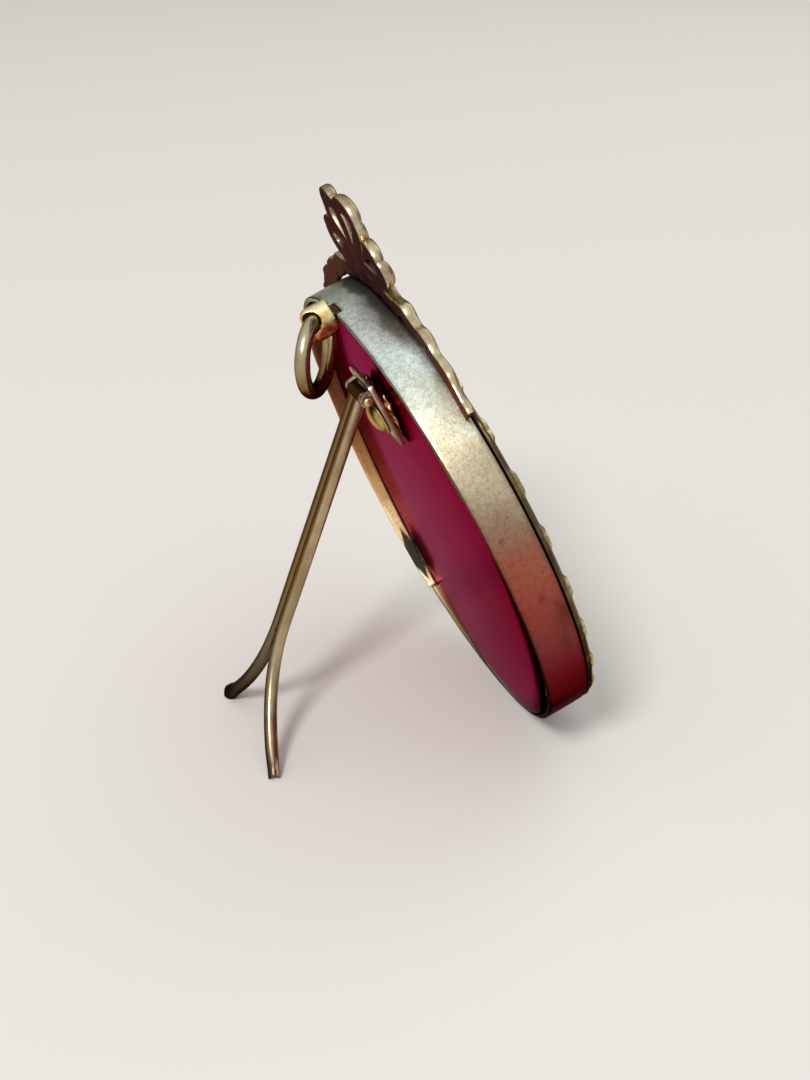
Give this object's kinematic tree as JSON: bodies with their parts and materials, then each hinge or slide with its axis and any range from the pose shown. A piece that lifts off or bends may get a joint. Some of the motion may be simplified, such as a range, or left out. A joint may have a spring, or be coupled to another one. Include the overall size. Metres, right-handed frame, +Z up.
{
  "type": "round picture frame",
  "caption": "Round brass picture frame with a relief border, ribbon bow crest, folding two-legged easel strut and a loose hanging ring.",
  "frame": {"origin": "on the ground under the middle of the whole piece's bounding box", "axes": "+Z up, -Y towards the picture's face, +Y towards the strut's feet, X to the side along the strut's hinge pin"},
  "size_m": [0.0902, 0.0626, 0.1044],
  "materials": {
    "band_brass": "aged brass strip, satin with fine dark specks",
    "bezel_brass": "aged brass, worn bright on its high points",
    "crest_brass": "aged gilt brass casting, brown behind",
    "strip_brass": "aged brass spring strip",
    "hinge_brass": "brown aged brass sheet",
    "rivet_brass": "worn brass rivet",
    "strut_brass": "drawn brass rod, olive brown with bright rubbed lines",
    "lug_brass": "cast brass, rubbed bright",
    "ring_brass": "drawn brass wire, brown patina",
    "back_lacquer": "glossy dark red lacquer",
    "glass": "clear flat glass",
    "mount_card": "wood pulp card, ivory",
    "picture_paper": "wood pulp card, blank",
    "backing_board": "wood pulp board, brown"
  },
  "bodies": {
    "frame": {"rim_band": "band_brass", "front_bezel": "bezel_brass", "bow_crest": "crest_brass", "retaining_strip": "strip_brass", "hinge_plate": "hinge_brass", "hinge_pin": "rivet_brass", "hinge_boss": "rivet_brass", "hanging_lug": "lug_brass", "back_plate": "back_lacquer", "glass_disc": "glass", "sight_mount": "mount_card", "picture_card": "picture_paper", "backing_card": "backing_board"},
    "strut": {"strut_head": "strut_brass", "strut_rod_left": "strut_brass", "strut_rod_right": "strut_brass"},
    "ring": {"hanging_ring": "ring_brass"}
  },
  "joints": [
    {"name": "strut_fold", "type": "hinge", "parent": "frame", "child": "strut", "pos_m": [0, 0.00689, 0.06719], "axis": [1, 0, 0], "range_deg": [-28, 0]},
    {"name": "ring_swing", "type": "hinge", "parent": "frame", "child": "ring", "pos_m": [0, 0.01467, 0.08194], "axis": [0.766, -0.6428, 0], "range_deg": [-12, 100]}
  ]
}
